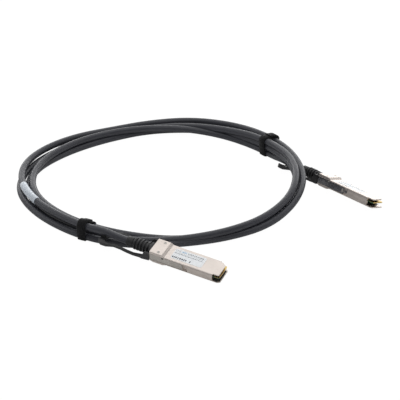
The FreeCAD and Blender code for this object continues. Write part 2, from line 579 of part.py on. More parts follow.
rs = D["sleevedia"] / 2 + 0.02
disc = Part.Face(Part.Wire(Part.makeCircle(rs, V(SL_R, 0, SL_Z), V(0, 1, 0))))
above = Part.Face(Part.makePolygon([V(SL_R - rs, 0, SL_Z), V(SL_R + rs, 0, SL_Z), V(SL_R + rs, 0, 30), V(SL_R - rs, 0, 30), V(SL_R - rs, 0, SL_Z)]))
core = Part.Face(Part.Wire(Part.makeCircle(D["cabledia"] / 2 - 0.01, V(SL_R, 0, SL_Z), V(0, 1, 0))))
tool = turned_face(disc).fuse(turned_face(above)).cut(turned_face(core))
coil = coil.cut(tool)
# room for the near pull tab's tail over its whole travel
room = Part.makeBox(23.5, 19.8, 40.0, V(-59.0, -9.9, -7.5))
room.Placement = NEAR
coil = coil.cut(room)
if coil.ShapeType != "Solid" and len(coil.Solids) == 1:
    coil = coil.Solids[0]
f = doc.addObject("Part::Feature", "cable_coil")
f.Shape = coil
keep(f, "cable_coil")

# ---------------------------------------------------------- the two cable leads


def lead(points, name):
    pts = [V(*p) if not isinstance(p, FreeCAD.Vector) else p for p in points]
    runs = [pts[i + 1].sub(pts[i]).Length for i in range(len(pts) - 1)]
    edges, cur = [], pts[0]
    for i in range(1, len(pts) - 1):
        a = pts[i - 1].sub(pts[i]).normalize()
        b = pts[i + 1].sub(pts[i]).normalize()
        turn = math.pi - a.getAngle(b)
        radius = 0.45 * min(runs[i - 1], runs[i]) / math.tan(turn / 2)
        cutback = radius * math.tan(turn / 2)
        t0 = pts[i].add(V(a).multiply(cutback))
        t1 = pts[i].add(V(b).multiply(cutback))
        bis = a.add(b).normalize()
        cen = pts[i].add(V(bis).multiply(radius / math.cos(turn / 2)))
        midp = cen.sub(V(bis).multiply(radius))
        edges.append(Part.LineSegment(cur, t0).toShape())
        edges.append(Part.Arc(t0, midp, t1).toShape())
        print(name, "turn %.1f radius %.1f" % (math.degrees(turn), radius))
        cur = t1
    edges.append(Part.LineSegment(cur, pts[-1]).toShape())
    wire = Part.Wire(edges)
    ring = Part.Wire(Part.makeCircle(D["cabledia"] / 2, pts[0], pts[1].sub(pts[0])))
    tube = wire.makePipeShell([ring], True, True)
    area = math.pi * (D["cabledia"] / 2) ** 2
    print(name, "length %.1f volume ratio %.4f runs %s" % (wire.Length, tube.Volume / (area * wire.Length), [round(r, 1) for r in runs]))
    g = doc.addObject("Part::Feature", name)
    g.Shape = tube
    keep(g, name)


def at(place, x, y=0.0, z=0.0):
    return place.multVec(V(x, y, z))


lead([at(NEAR, -1.5), at(NEAR, -28.0), V(-52.3, -122.3, 16.6).sub(ORG), V(-64.4, -112.5, 14.6).sub(ORG)], "cable_near_lead")
lead([at(FAR, -1.5), at(FAR, -28.0), at(FAR, -58.0, 0.8, 0.3), V(108.8, 53.9, 5.5).sub(ORG)], "cable_far_lead")

# --------------------------------------------------------------------- ties
for name, ang in (("tie_front", 240.6), ("tie_back", 33.4)):
    c = new_body(name, coil_frame(ang))
    s = new_sketch(c, "YZ_Plane", name + "_sk", -D["tiewide"] / 2)
    ow, oh = D["coilwide"] / 2 + 0.15, D["coilhigh"] / 2 + 0.15
    t = D["tiethick"]
    rounded_rect(s, -ow - t, ow + t, -oh - t, oh + t, D["coilround"] + t)
    p = pad(c, s, name + "_pad", E("tiewide"))
    s = new_sketch(c, "YZ_Plane", name + "_in", -D["tiewide"] / 2 - 1)
    rounded_rect(s, -ow, ow, -oh, oh, D["coilround"])
    pocket(c, s, name + "_in_cut", 20.0, rev=True)
    # loose end of the strap lying over the loop's top
    s = rect(c, "XY_Plane", name + "_flap", E("tiewide", -0.46), E("tiewide", 0.46), -ow + 1.5, ow - 3.0, offset=oh + t - 0.05)
    pad(c, s, name + "_flap_pad", 1.1)
    keep(c, name)

doc.recompute()

os.makedirs("parts", exist_ok=True)
bad = []
for o in doc.Objects:
    if "Invalid" in o.State or "Error" in o.State:
        bad.append(o.Name)
if bad:
    raise RuntimeError("bad objects: " + ", ".join(bad))
for name, obj in out:
    sh = obj.Shape
    if sh.isNull() or not sh.isValid():
        raise RuntimeError("bad shape " + name)
    print(name, len(sh.Solids), round(sh.Volume, 2), sh.BoundBox)
    sh.exportStep("parts/%s.step" % name)
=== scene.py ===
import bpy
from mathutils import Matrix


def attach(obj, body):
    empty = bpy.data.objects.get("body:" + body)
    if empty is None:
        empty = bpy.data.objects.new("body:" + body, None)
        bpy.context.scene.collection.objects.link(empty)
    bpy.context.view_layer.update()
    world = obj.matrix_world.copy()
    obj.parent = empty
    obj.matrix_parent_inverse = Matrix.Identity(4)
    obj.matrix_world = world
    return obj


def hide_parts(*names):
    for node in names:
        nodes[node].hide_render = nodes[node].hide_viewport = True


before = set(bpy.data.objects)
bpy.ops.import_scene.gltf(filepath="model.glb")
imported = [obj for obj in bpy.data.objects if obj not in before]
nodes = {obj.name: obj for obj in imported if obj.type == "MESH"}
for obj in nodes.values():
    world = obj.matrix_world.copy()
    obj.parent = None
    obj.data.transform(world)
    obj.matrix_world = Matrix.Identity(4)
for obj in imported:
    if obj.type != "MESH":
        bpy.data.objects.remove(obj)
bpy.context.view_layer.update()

import math
import random
import bpy
import bmesh
from mathutils import Matrix, Vector

random.seed(7)

# ------------------------------------------------------------------ camera
cam_data = bpy.data.cameras.new("camera")
cam = bpy.data.objects.new("camera", cam_data)
bpy.context.scene.collection.objects.link(cam)
cam.location = (-0.040921, -1.106669, 0.61031)
cam.rotation_euler = (math.radians(62.0), 0.0, 0.0)
cam_data.lens = 121.96
cam_data.sensor_width = 36.0
cam_data.clip_start, cam_data.clip_end = 0.01, 50.0
bpy.context.scene.camera = cam
scene = bpy.context.scene
scene.render.resolution_x = 400
scene.render.resolution_y = 400
scene.render.resolution_percentage = 100

# ------------------------------------------------------------------ the cord
# route points from the near boot, three loose turns and a half, to the far boot
ROUTE = [
    (-0.0925, -0.0687, 0.0130),
    (-0.1022, -0.0637, 0.0140),
    (-0.1129, -0.0583, 0.0152),
    (-0.1273, -0.0482, 0.0165),
    (-0.1439, -0.0378, 0.0146),
    (-0.1752, -0.0091, 0.0131),
    (-0.1994, 0.0223, 0.0121),
    (-0.2144, 0.0585, 0.0114),
    (-0.2156, 0.0980, 0.0107),
    (-0.1991, 0.1343, 0.0100),
    (-0.1699, 0.1617, 0.0100),
    (-0.1346, 0.1802, 0.0090),
    (-0.0964, 0.1971, 0.0090),
    (-0.0525, 0.2049, 0.0094),
    (-0.0112, 0.1890, 0.0120),
    (0.0204, 0.1609, 0.0153),
    (0.0439, 0.1290, 0.0158),
    (0.0565, 0.0928, 0.0157),
    (0.0596, 0.0540, 0.0149),
    (0.0485, 0.0149, 0.0107),
    (0.0225, -0.0185, 0.0053),
    (-0.0161, -0.0380, 0.0034),
    (-0.0580, -0.0491, 0.0034),
    (-0.1022, -0.0521, 0.0034),
    (-0.1444, -0.0389, 0.0041),
    (-0.1774, -0.0115, 0.0035),
    (-0.2027, 0.0205, 0.0034),
    (-0.2174, 0.0580, 0.0034),
    (-0.2138, 0.0976, 0.0034),
    (-0.1956, 0.1322, 0.0034),
    (-0.1684, 0.1598, 0.0034),
    (-0.1352, 0.1818, 0.0034),
    (-0.0960, 0.1941, 0.0055),
    (-0.0546, 0.1915, 0.0089),
    (-0.0171, 0.1766, 0.0119),
    (0.0133, 0.1532, 0.0159),
    (0.0346, 0.1240, 0.0188),
    (0.0485, 0.0915, 0.0215),
    (0.0528, 0.0553, 0.0213),
    (0.0448, 0.0171, 0.0170),
    (0.0195, -0.0151, 0.0114),
    (-0.0160, -0.0383, 0.0098),
    (-0.0582, -0.0479, 0.0068),
    (-0.1010, -0.0447, 0.0035),
    (-0.1398, -0.0291, 0.0034),
    (-0.1723, -0.0060, 0.0034),
    (-0.1960, 0.0242, 0.0034),
    (-0.2094, 0.0592, 0.0036),
    (-0.2055, 0.0960, 0.0037),
    (-0.1867, 0.1270, 0.0034),
    (-0.1615, 0.1520, 0.0035),
    (-0.1313, 0.1729, 0.0035),
    (-0.0954, 0.1898, 0.0036),
    (-0.0544, 0.1930, 0.0040),
    (-0.0155, 0.1799, 0.0067),
    (0.0140, 0.1540, 0.0101),
    (0.0349, 0.1241, 0.0127),
    (0.0483, 0.0915, 0.0154),
    (0.0538, 0.0551, 0.0144),
    (0.0429, 0.0182, 0.0090),
    (0.0160, -0.0110, 0.0045),
    (-0.0198, -0.0296, 0.0034),
    (-0.0588, -0.0427, 0.0034),
    (-0.0999, -0.0375, 0.0043),
    (-0.1394, -0.0283, 0.0086),
    (-0.1715, -0.0052, 0.0101),
    (-0.1941, 0.0252, 0.0101),
    (-0.2048, 0.0600, 0.0100),
    (-0.2018, 0.0952, 0.0100),
    (-0.1871, 0.1272, 0.0100),
    (-0.1630, 0.1537, 0.0100),
    (-0.1318, 0.1739, 0.0097),
    (-0.0948, 0.1849, 0.0095),
    (-0.0557, 0.1843, 0.0087),
    (-0.0172, 0.1763, 0.0050),
    (0.0141, 0.1542, 0.0036),
    (0.0337, 0.1280, 0.0044),
    (0.0392, 0.1134, 0.0090),
    (0.0471, 0.1044, 0.0091),
    (0.0579, 0.0925, 0.0088),
    (0.0710, 0.0788, 0.0085),
]
CORD_R = 0.00335
curve = bpy.data.curves.new("cable_route", "CURVE")
curve.dimensions = "3D"
spline = curve.splines.new("NURBS")
spline.points.add(len(ROUTE) - 1)
for p, q in zip(spline.points, ROUTE):
    p.co = (q[0], q[1], q[2], 1.0)
spline.order_u = 3
spline.use_endpoint_u = True
spline.resolution_u = 12
route = bpy.data.objects.new("cable_route", curve)
scene.collection.objects.link(route)
bpy.context.view_layer.update()
line_mesh = bpy.data.meshes.new_from_object(route)
LINE = [v.co.copy() for v in line_mesh.vertices]
bpy.data.objects.remove(route)
bpy.data.meshes.remove(line_mesh)
bpy.data.curves.remove(curve)
WAY = []
for k in range(len(LINE)):
    WAY.append((LINE[min(k + 1, len(LINE) - 1)] - LINE[max(k - 1, 0)]).normalized())


# ------------------------------------------------------------- mesh helpers
def new_object(name, bm, body, smooth=True, replaces=()):
    mesh = bpy.data.meshes.new(name)
    bmesh.ops.recalc_face_normals(bm, faces=bm.faces)
    bm.to_mesh(mesh)
    bm.free()
    for f in mesh.polygons:
        f.use_smooth = smooth
    o = bpy.data.objects.new(name, mesh)
    scene.collection.objects.link(o)
    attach(o, body)
    if replaces:
        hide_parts(*replaces)
    return o


def loft(bm, rings, caps=True):
    """Skin through closed rings of equal length."""
    rows = [[bm.verts.new(p) for p in ring] for ring in rings]
    n = len(rows[0])
    for a, b in zip(rows, rows[1:]):
        for k in range(n):
            bm.faces.new((a[k], a[(k + 1) % n], b[(k + 1) % n], b[k]))
    if caps:
        bm.faces.new(list(reversed(rows[0])))
        bm.faces.new(rows[-1])
    return rows


def box_into(bm, lo, hi, place=Matrix.Identity(4)):
    v = [bm.verts.new(place @ Vector((x, y, z))) for x in (lo[0], hi[0]) for y in (lo[1], hi[1]) for z in (lo[2], hi[2])]
    for f in ((0, 1, 3, 2), (4, 6, 7, 5), (0, 4, 5, 1), (2, 3, 7, 6), (0, 2, 6, 4), (1, 5, 7, 3)):
        bm.faces.new([v[k] for k in f])


def bevel(o, width, segments=2, angle=35.0):
    m = o.modifiers.new("edges", "BEVEL")
    m.width = width
    m.segments = segments
    m.limit_method = "ANGLE"
    m.angle_limit = math.radians(angle)
    m.harden_normals = False
    return o


def tube(name, points, ways, radii, around, body, caps, replaces):
    """Round skin along a line, with its seam kept level."""
    bm = bmesh.new()
    rings = []
    for p, d, r in zip(points, ways, radii):
        side = d.cross(Vector((0, 0, 1))).normalized()
        up = side.cross(d).normalized()
        rings.append([p + side * (r * math.cos(2 * math.pi * a / around)) + up * (r * math.sin(2 * math.pi * a / around)) for a in range(around)])
    loft(bm, rings, caps=caps)
    return new_object(name, bm, body, replaces=replaces)


cable = tube("cable_jacket", LINE, WAY, [CORD_R] * len(LINE), 24, "assembly", True,
             ("cable_coil", "cable_near_lead", "cable_far_lead"))

# plug frames: local x from the metal's rear to its nose, y across, z up
def plug_matrix(rows, origin):
    m = Matrix.Identity(4)
    for i in range(3):
        for j in range(3):
            m[i][j] = rows[i][j]
        m[i][3] = origin[i] / 1000.0
    return m


NEAR = plug_matrix(((0.8884, 0.45845, -0.02364), (-0.45071, 0.86131, -0.23453), (-0.08716, 0.21901, 0.97182)),
                   (-80.9215, -74.5385, 11.8674))
FAR = plug_matrix(((0.68953, 0.68456, 0.23647), (-0.72408, 0.65867, 0.20459), (-0.01571, -0.3123, 0.94985)),
                  (79.9285, 69.3615, 8.2859))


# ----------------------------------------------------------------- materials
def mat(name, colour, rough, metal=0.0, vary=0.08, vary_scale=60.0, rough_vary=0.08, bump=0.1, bump_scale=2500.0,
        bump_dist=0.00005, coat=0.0, sheen=0.0, edge=0.0, specular=0.5, stretch=(1, 1, 1), second=None):
    """Procedural finish: mottled colour and roughness, fine grain, softened edges."""
    m = bpy.data.materials.new(name)
    m.use_nodes = True
    nt = m.node_tree
    N, L = nt.nodes, nt.links
    bsdf = next(n for n in N if n.type == "BSDF_PRINCIPLED")
    tc = N.new("ShaderNodeTexCoord")
    mp = N.new("ShaderNodeMapping")
    mp.inputs["Scale"].default_value = stretch
    L.new(tc.outputs["Object"], mp.inputs["Vector"])
    big = N.new("ShaderNodeTexNoise")
    big.inputs["Scale"].default_value = vary_scale
    big.inputs["Detail"].default_value = 4.0
    L.new(mp.outputs["Vector"], big.inputs["Vector"])
    ramp = N.new("ShaderNodeValToRGB")
    lo = [c * (1 - vary) for c in colour]
    hi = second if second else [min(1.0, c * (1 + vary)) for c in colour]
    ramp.color_ramp.elements[0].position = 0.36
    ramp.color_ramp.elements[0].color = (*lo, 1)
    ramp.color_ramp.elements[1].position = 0.64
    ramp.color_ramp.elements[1].color = (*hi, 1)
    L.new(big.outputs["Fac"], ramp.inputs["Fac"])
    col = ramp.outputs["Color"]
    fine = N.new("ShaderNodeTexNoise")
    fine.inputs["Scale"].default_value = bump_scale
    fine.inputs["Detail"].default_value = 3.0
    L.new(mp.outputs["Vector"], fine.inputs["Vector"])
    mr = N.new("ShaderNodeMapRange")
    mr.inputs["From Min"].default_value = 0.3
    mr.inputs["From Max"].default_value = 0.7
    mr.inputs["To Min"].default_value = max(0.02, rough - rough_vary)
    mr.inputs["To Max"].default_value = min(1.0, rough + rough_vary)
    mixn = N.new("ShaderNodeMath")
    mixn.operation = "ADD"
    half1 = N.new("ShaderNodeMath")
    half1.operation = "MULTIPLY"
    half1.inputs[1].default_value = 0.5
    half2 = N.new("ShaderNodeMath")
    half2.operation = "MULTIPLY"
    half2.inputs[1].default_value = 0.5
    L.new(big.outputs["Fac"], half1.inputs[0])
    L.new(fine.outputs["Fac"], half2.inputs[0])
    L.new(half1.outputs[0], mixn.inputs[0])
    L.new(half2.outputs[0], mixn.inputs[1])
    L.new(mixn.outputs[0], mr.inputs["Value"])
    L.new(mr.outputs["Result"], bsdf.inputs["Roughness"])
    bp = N.new("ShaderNodeBump")
    bp.inputs["Strength"].default_value = bump
    bp.inputs["Distance"].default_value = bump_dist
    L.new(fine.outputs["Fac"], bp.inputs["Height"])
    if edge > 0:
        bv = N.new("ShaderNodeBevel")
        bv.samples = 4
        bv.inputs["Radius"].default_value = edge
        L.new(bv.outputs["Normal"], bp.inputs["Normal"])
    L.new(bp.outputs["Normal"], bsdf.inputs["Normal"])
    L.new(col, bsdf.inputs["Base Color"])
    bsdf.inputs["Metallic"].default_value = metal
    bsdf.inputs["Specular IOR Level"].default_value = specular
    if coat:
        bsdf.inputs["Coat Weight"].default_value = coat
        bsdf.inputs["Coat Roughness"].default_value = 0.2
    if sheen:
        bsdf.inputs["Sheen Weight"].default_value = sheen
        bsdf.inputs["Sheen Roughness"].default_value = 0.4
    return m


M = {
    "jacket": mat("jacket_pvc", (0.0405, 0.0425, 0.0535), 0.42, vary=0.10, vary_scale=38.0, bump=0.35, bump_scale=1500.0, bump_dist=0.00004, specular=0.55),
    "boot": mat("boot_moulded", (0.017, 0.017, 0.019), 0.48, vary=0.15, vary_scale=120.0, bump=0.3, bump_scale=2200.0, edge=0.00025),
    "tab": mat("tab_moulded", (0.020, 0.020, 0.022), 0.40, vary=0.15, vary_scale=90.0, bump=0.3, bump_scale=2600.0, edge=0.0003),
    "shell": mat("shell_nickel", (0.735, 0.668, 0.620), 0.38, metal=1.0, vary=0.05, vary_scale=55.0, rough_vary=0.07, bump=0.25,
                 bump_scale=2600.0, bump_dist=0.00003, edge=0.0003),
    "latch": mat("latch_steel", (0.60, 0.57, 0.53), 0.34, metal=1.0, vary=0.08, vary_scale=80.0, bump=0.2, bump_scale=3000.0, edge=0.0002),
    # the darker copy of the latch steel below is painted shade, for the far plug's slider and window seat
    "latch_far_painted_shade": mat("latch_steel_painted_shade", (0.30, 0.30, 0.315), 0.26, metal=1.0, vary=0.08, vary_scale=80.0, bump=0.2, bump_scale=3000.0, edge=0.0002),
    # one near-black finish for the side seams and for painted shade: the near arm pin, the ring round each pin and the
    # sheet under the card's nose
    "seam_and_painted_shade": mat("seam_dark_and_painted_shade", (0.035, 0.034, 0.034), 0.6, vary=0.1, vary_scale=300.0, bump=0.1, bump_scale=4000.0),
    "screw": mat("screw_zinc", (0.52, 0.50, 0.47), 0.30, metal=1.0, vary=0.1, vary_scale=300.0, bump=0.25, bump_scale=5000.0, edge=0.00015),
    "gold": mat("contact_gold", (0.83, 0.60, 0.22), 0.26, metal=1.0, vary=0.06, vary_scale=300.0, bump=0.1, bump_scale=4000.0),
    "board": mat("card_laminate", (0.020, 0.085, 0.035), 0.42, vary=0.18, vary_scale=240.0, bump=0.25, bump_scale=5000.0, coat=0.3),
    "potting": mat("fanout_potting", (0.10, 0.085, 0.06), 0.55, vary=0.2, vary_scale=200.0, bump=0.3, bump_scale=1500.0),
    "ferrule": mat("ferrule_brass", (0.55, 0.42, 0.20), 0.35, metal=1.0, vary=0.08, vary_scale=150.0, bump=0.2, bump_scale=3000.0),
    "film": mat("label_film", (0.93, 0.955, 0.975), 0.36, vary=0.01, vary_scale=90.0, bump=0.12, bump_scale=1800.0, coat=0.7),
    "sleeve": mat("sleeve_film", (0.62, 0.68, 0.75), 0.34, vary=0.06, vary_scale=70.0, bump=0.2, bump_scale=900.0, coat=0.3),
    "ink": mat("label_ink", (0.10, 0.11, 0.13), 0.5, vary=0.2, vary_scale=600.0, bump=0.05, bump_scale=5000.0),
    "ink_grey": mat("label_ink_grey", (0.42, 0.44, 0.48), 0.5, vary=0.2, vary_scale=600.0, bump=0.05, bump_scale=5000.0),
    "ink_pale": mat("label_ink_pale", (0.22, 0.52, 0.85), 0.5, vary=0.2, vary_scale=600.0, bump=0.05, bump_scale=5000.0),
    "fabric": mat("tie_fabric", (0.010, 0.010, 0.011), 0.85, vary=0.35, vary_scale=900.0, bump=0.9, bump_scale=1900.0,
                  bump_dist=0.00025, sheen=0.12, specular=0.25),
}


def paint(o, m):
    o.data.materials.clear()
    o.data.materials.append(m)


paint(cable, M["jacket"])
for pre in ("near", "far"):
    for part, key in (("bottom_shell", "shell"), ("top_shell", "shell"), ("screw_a", "screw"), ("screw_b", "screw"),
                      ("wire_fanout", "potting"), ("crimp_ferrule", "ferrule"), ("cable_boot", "boot"),
                      ("latch_slider", "latch"), ("pull_tab", "tab"), ("plug_label", "film"), ("paddle_card", "board")):
        paint(nodes[pre + "_" + part], M[key])
# painted shade: the far slider takes the darker copy of the latch steel
paint(nodes["far_latch_slider"], M["latch_far_painted_shade"])
for n in ("tie_front", "tie_back"):
    paint(nodes[n], M["fabric"])
paint(nodes["cable_label"], M["sleeve"])
for n in ("cable_coil", "cable_near_lead", "cable_far_lead"):
    paint(nodes[n], M["jacket"])


# ---------------------------------------------------- sleeve on the cord
def sleeve(name, k0, k1):
    pts = LINE[k0:k1 + 1]
    ways = WAY[k0:k1 + 1]
    n = len(pts)
    rad = [0.00371] * n
    pts = [pts[0] + ways[0] * 0.0001, pts[0]] + pts + [pts[-1], pts[-1] - ways[-1] * 0.0001]
    ways = [ways[0], ways[0]] + ways + [ways[-1], ways[-1]]
    rad = [0.0034, 0.00366] + rad + [0.00366, 0.0034]
    pts[2] = pts[2] + ways[2] * 0.0002
    pts[-3] = pts[-3] - ways[-3] * 0.0002
    o = tube(name, pts, ways, rad, 36, "assembly", False, ("cable_label",))
    paint(o, M["sleeve"])
    return o


sleeve("printed_sleeve", 64, 76)


# ------------------------------------------------------------- ribbed boots
def boot(pre, place):
    """Moulded strain relief: root block, five ribs on a core, and a collar round the cable."""
    prof = [(-0.05, 5.9, 4.0, 3.4), (-0.4, 6.2, 4.3, 3.4), (-3.3, 6.05, 4.4, 3.2), (-3.8, 5.7, 4.2, 3.0), (-3.9, 4.25, 4.1, 2.2)]
    for k in range(5):
        x = -5.15 - 3.1 * k
        hw = 5.45 - 0.06 * k
        hh = min(5.25, 4.62 + 0.35 * k)
        prof += [(x, 4.2, 4.1, 2.1), (x - 0.05, hw - 0.28, hh - 0.25, 2.3), (x - 0.3, hw, hh, 2.3),
                 (x - 1.65, hw - 0.05, hh, 2.3), (x - 1.95, hw - 0.3, hh - 0.25, 2.3), (x - 2.0, 4.2, 4.1, 2.1)]
    prof += [(-20.65, 4.15, 4.1, 2.05), (-20.7, 4.45, 4.4, 2.05), (-20.95, 4.7, 4.65, 2.05), (-26.4, 4.52, 4.52, 2.0),
             (-26.9, 4.3, 4.3, 2.0), (-27.0, 3.9, 3.9, 2.0), (-27.0, 3.37, 3.37, 2.0), (-26.0, 3.36, 3.36, 2.0)]
    bm = bmesh.new()
    rings = []
    n = 56
    for x, hw, hh, e in prof:
        ring = []
        for k in range(n):
            t = 2 * math.pi * k / n
            c, q = math.cos(t), math.sin(t)
            ring.append(place @ Vector((x / 1000, math.copysign(abs(c) ** (2 / e), c) * hw / 1000, math.copysign(abs(q) ** (2 / e), q) * hh / 1000)))
        rings.append(ring)
    loft(bm, rings, caps=False)
    o = new_object(pre + "_boot", bm, "assembly", replaces=(pre + "_cable_boot",))
    m = o.modifiers.new("sharp", "EDGE_SPLIT")
    m.split_angle = math.radians(50)
    paint(o, M["boot"])
    return o


boot("near", NEAR)
boot("far", FAR)


# ----------------------------------------------------------------- strap ties
def hull(points):
    pts = sorted(set(points))

    def half(seq):
        h = []
        for p in seq:
            while len(h) > 1 and (h[-1][0] - h[-2][0]) * (p[1] - h[-2][1]) - (h[-1][1] - h[-2][1]) * (p[0] - h[-2][0]) <= 0:
                h.pop()
            h.append(p)
        return h[:-1]
    return half(pts) + half(reversed(pts))


def strap_tie(name, centre, along, strands, width, replaces, flap_at):
    """A strap wound round the strands: strands are (across, up) in metres in the tie's own plane."""
    d = Vector(along).normalized()
    side = d.cross(Vector((0, 0, 1))).normalized()
    up = Vector((0, 0, 1))
    pts = []
    for a, z in strands:
        for k in range(72):
            t = 2 * math.pi * k / 72
            pts.append((round(a + (CORD_R + 0.00015) * math.cos(t), 7), round(z + (CORD_R + 0.00015) * math.sin(t), 7)))
    loop = hull(pts)
    # even spacing round the loop
    n = 96
    seg = [math.dist(loop[k], loop[(k + 1) % len(loop)]) for k in range(len(loop))]
    total = sum(seg)
    even = []
    k, run = 0, 0.0
    for i in range(n):
        want = total * i / n
        while run + seg[k] < want:
            run += seg[k]
            k += 1
        f = (want - run) / seg[k]
        a, b = loop[k], loop[(k + 1) % len(loop)]
        even.append((a[0] + (b[0] - a[0]) * f, a[1] + (b[1] - a[1]) * f))
    norm = []
    for i in range(n):
        a, b = even[i - 1], even[(i + 1) % n]
        tx, tz = b[0] - a[0], b[1] - a[1]
        l = math.hypot(tx, tz)
        norm.append((tz / l, -tx / l))
    bm = bmesh.new()

    def at(i, out, s):
        e, q = even[i % n], norm[i % n]
        z = e[1] + q[1] * out
        if z < 0.0016:
            # the strap is pressed flat where the ring rests on it
            z = 0.0016 - (0.0016 - z) * 0.3
        return Vector(centre) + side * (e[0] + q[0] * out) + up * z + d * s

    def band(i0, i1, o0, o1, w, closed):
        """One layer of the strap from loop index i0 to i1, between two heights off the strands."""
        idx = list(range(i0, i1 + (0 if closed else 1)))
        rows = []
        for j, i in enumerate(idx):
            sag = 0.00006 * math.sin(i * 0.9) + 0.00005 * math.sin(i * 2.3 + 1)
            lift = 0.0
            if not closed:
                lift = 0.0006 * max(0.0, (j - len(idx) + 4) / 4.0)
            h = w / 2 + 0.00008 * math.sin(i * 1.7)
            e = 0.00028
            prof = [(-h, o0 + e), (-h + e, o0), (h - e, o0), (h, o0 + e), (h, o1 - e), (h - e, o1), (0.0, o1 + 0.00012), (-h + e, o1), (-h, o1 - e)]
            rows.append([bm.verts.new(at(i, out + sag + lift, s)) for s, out in prof])
        m = len(rows[0])
        count = len(rows)
        for r in range(count if closed else count - 1):
            a, b = rows[r], rows[(r + 1) % count]
            for k in range(m):
                bm.faces.new((a[k], a[(k + 1) % m], b[(k + 1) % m], b[k]))
        if not closed:
            bm.faces.new(list(reversed(rows[0])))
            bm.faces.new(rows[-1])

    band(0, n, 0.00005, 0.00155, width, True)
    start = int(n * flap_at[0])
    stop = int(n * flap_at[1])
    band(start, stop, 0.00152, 0.0026, width * 0.97, False)
    # loose fibres of the strap's loop side
    for _ in range(900):
        i = random.randrange(n)
        s = random.uniform(-width / 2, width / 2)
        covered = start <= i < stop or start <= i + n < stop
        base = at(i, 0.0021 if covered else 0.00112, s)
        q = side * norm[i][0] + up * norm[i][1]
        tip = base + q * random.uniform(0.0002, 0.0006) + d * random.uniform(-0.0005, 0.0005) + side.cross(q) * random.uniform(-0.0004, 0.0004)
        w = d * 0.00004
        va, vb, vc = bm.verts.new(base - w), bm.verts.new(base + w), bm.verts.new(tip)
        w2 = q.cross(d) * 0.00004
        vd = bm.verts.new(base + w2)
        bm.faces.new((va, vb, vc))
        bm.faces.new((vb, vd, vc))
        bm.faces.new((vd, va, vc))
        bm.faces.new((va, vd, vb))
    o = new_object(name, bm, "assembly", replaces=replaces)
    paint(o, M["fabric"])
    return o


strap_tie("front_tie", (-0.14296, -0.02868, 0.0), (0.89210, -0.45184, 0.0), ((0.00734, 0.01466), (0.00765, 0.00395), (-0.00229, 0.00342), (-0.00389, 0.00822)), 0.0080, ("tie_front",), (0.5, 0.86))
strap_tie("back_tie", (0.03299, 0.14331, 0.0), (-0.60309, 0.79768, 0.0), ((0.00033, 0.01557), (-0.01009, 0.01738), (-0.00937, 0.01141), (-0.00861, 0.00409)), 0.0080, ("tie_back",), (0.5, 0.86))

# --------------------------------------------------------- contacts and labels
def contacts(pre, place):
    bm = bmesh.new()
    plan = ((22.0, -7.1), (61.5, -7.1), (61.5, -8.0), (66.8, -8.0), (67.6, -7.2), (67.6, 7.2), (66.8, 8.0), (61.5, 8.0), (61.5, 7.1), (22.0, 7.1))
    loft(bm, [[place @ Vector((x / 1000, y / 1000, z)) for x, y in plan] for z in (0.00025, 0.00125)])
    card = new_object(pre + "_card", bm, "assembly", smooth=False, replaces=(pre + "_paddle_card",))
    paint(card, M["board"])
    bm = bmesh.new()
    for k in range(-9, 10):
        long_one = k % 3 == 0
        x0 = 0.0612 if not long_one else 0.0604
        y = k * 0.0008
        for z0, z1 in ((0.00125, 0.00132), (0.00018, 0.00025)):
            box_into(bm, (x0, y - 0.00029, z0), (0.0673, y + 0.00029, z1), place)
    # plated front edge and the bright bead along it
    box_into(bm, (0.0670, -0.0071, 0.00122), (0.06766, 0.0071, 0.00134), place)
    box_into(bm, (0.06745, -0.0071, 0.00060), (0.06766, 0.0071, 0.00130), place)
    for sgn in (1, -1):
        box_into(bm, (0.0632, min(sgn * 0.0073, sgn * 0.00803), 0.00110), (0.0669, max(sgn * 0.0073, sgn * 0.00803), 0.00132), place)
    pads = new_object(pre + "_contact_pads", bm, "assembly", smooth=False)
    paint(pads, M["gold"])


contacts("near", NEAR)
contacts("far", FAR)


def shell_trim(pre, place, body_latch):
    """Seam along the sides and the pin near each arm's rear end; the near pin and a ring round each pin are painted
    shade.
    """
    bm = bmesh.new()
    for sgn in (1, -1):
        y0, y1 = sorted((sgn * 0.00910, sgn * 0.009187))
        box_into(bm, (0.0375, y0, 0.0029 - 0.00009), (0.0610, y1, 0.0029 + 0.00009), place)
    o = new_object(pre + "_side_seam", bm, "assembly", smooth=False)
    paint(o, M["seam_and_painted_shade"])
    bm = bmesh.new()
    dark = bmesh.new()
    for sgn in (1, -1):
        cx, cz = 0.0126, 0.0021
        rings = []
        for r, y in ((0.00062, 0.00905), (0.00062, 0.00915), (0.00050, 0.00926), (0.00022, 0.00932)):
            rings.append([place @ Vector((cx + r * math.cos(2 * math.pi * k / 20), sgn * y, cz + r * math.sin(2 * math.pi * k / 20))) for k in range(20)])
        loft(bm, rings)
        rings = []
        for r, y in ((0.00088, 0.00900), (0.00088, 0.009105)):
            rings.append([place @ Vector((cx + r * math.cos(2 * math.pi * k / 24), sgn * y, cz + r * math.sin(2 * math.pi * k / 24))) for k in range(24)])
        loft(dark, rings)
    o = new_object(pre + "_arm_pin", bm, body_latch)
    # painted shade: the near pin is drawn dark, the far pin in zinc, and the ring is a disc of painted shade round each
    # pin
    paint(o, M["screw"] if pre == "far" else M["seam_and_painted_shade"])
    o = new_object(pre + "_arm_pin_shade_ring", dark, body_latch)
    paint(o, M["seam_and_painted_shade"])


def lip_painted_shade(pre, place, reach, nose):
    """Dark sheet of painted shade on the inner face of the bottom lip, under the card's nose."""
    bm = bmesh.new()
    # painted shade: a thin near-black sheet laid on the lip where the card shades it
    box_into(bm, (0.0615, -0.0086, -0.00320), (reach, 0.0086, -0.00312), place)
    if nose > reach:
        box_into(bm, (reach, -0.0070, -0.00320), (nose, 0.0070, -0.00312), place)
    o = new_object(pre + "_lip_painted_shade", bm, "assembly", smooth=False)
    paint(o, M["seam_and_painted_shade"])
